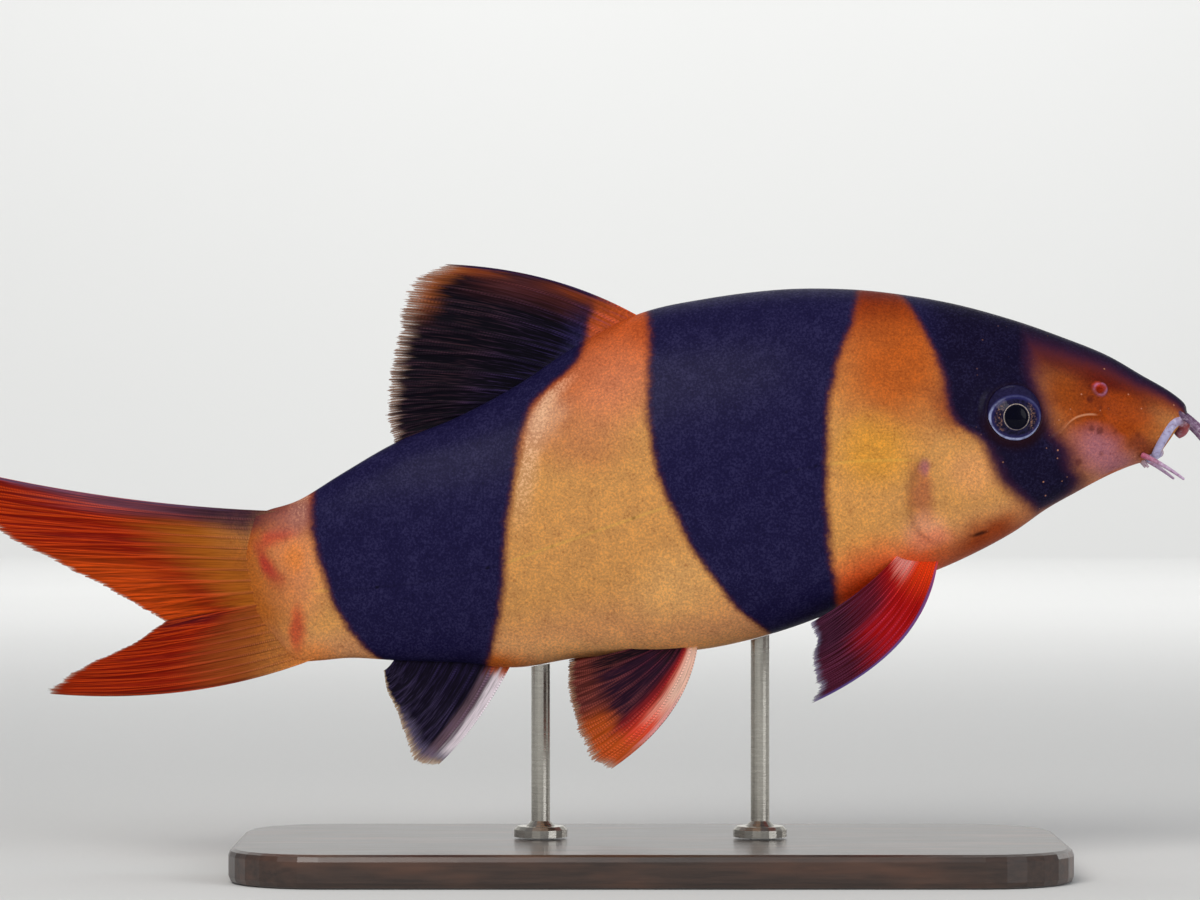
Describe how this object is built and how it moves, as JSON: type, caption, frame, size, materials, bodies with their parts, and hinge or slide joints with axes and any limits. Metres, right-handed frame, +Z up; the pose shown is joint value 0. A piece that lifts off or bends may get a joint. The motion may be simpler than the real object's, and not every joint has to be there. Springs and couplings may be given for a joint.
{
  "type": "clown loach fish model",
  "caption": "Life-size swimming clown loach on a plain display stand: deep banded body, sloping head with barbels round a low mouth, ray-ridged fins and a forked tail.",
  "frame": {"origin": "centre of the stand's underside, on the floor", "axes": "+X towards the fish's snout along the stand's length, +Y towards the fish's left side, +Z up"},
  "size_m": [0.1939, 0.062, 0.0909],
  "materials": {
    "head_skin": "wet satin skin, orange-brown snout with a navy band through the eye",
    "gill_cover_skin": "wet satin skin, golden orange",
    "trunk_skin": "wet satin skin, tan-gold with broad navy bands and very fine scales",
    "tail_stalk_skin": "wet satin skin, pinkish orange",
    "dorsal_fin": "thin translucent membrane, near black with an orange leading strip",
    "caudal_fin": "thin translucent membrane, red-orange",
    "anal_fin": "thin translucent membrane, near black with a pale leading strip",
    "pelvic_fin": "thin translucent membrane, coral red with a dark centre",
    "pectoral_fin": "thin translucent membrane, bright red",
    "eye": "clear gloss over a dark blue ball with a thin metallic ring round the pupil",
    "barbel_skin": "wet satin skin, pale pinkish violet",
    "stand_wood": "dark stained wood, satin varnish",
    "stand_metal": "turned satin metal"
  },
  "bodies": {
    "root": {"head": "head_skin", "gill_cover_left": "gill_cover_skin", "gill_cover_right": "gill_cover_skin", "trunk": "trunk_skin", "tail_stalk": "tail_stalk_skin", "dorsal_fin": "dorsal_fin", "caudal_fin_upper": "caudal_fin", "caudal_fin_lower": "caudal_fin", "anal_fin": "anal_fin", "pelvic_fin_left": "pelvic_fin", "pelvic_fin_right": "pelvic_fin", "pectoral_fin_left": "pectoral_fin", "pectoral_fin_right": "pectoral_fin", "eye_left": "eye", "eye_right": "eye", "barbel_rostral_inner_left": "barbel_skin", "barbel_rostral_inner_right": "barbel_skin", "barbel_rostral_outer_left": "barbel_skin", "barbel_rostral_outer_right": "barbel_skin", "barbel_maxillary_left": "barbel_skin", "barbel_maxillary_right": "barbel_skin", "barbel_mandibular_left": "barbel_skin", "barbel_mandibular_right": "barbel_skin", "stand_base": "stand_wood", "stand_rod_front": "stand_metal", "stand_rod_rear": "stand_metal"}
  },
  "joints": []
}
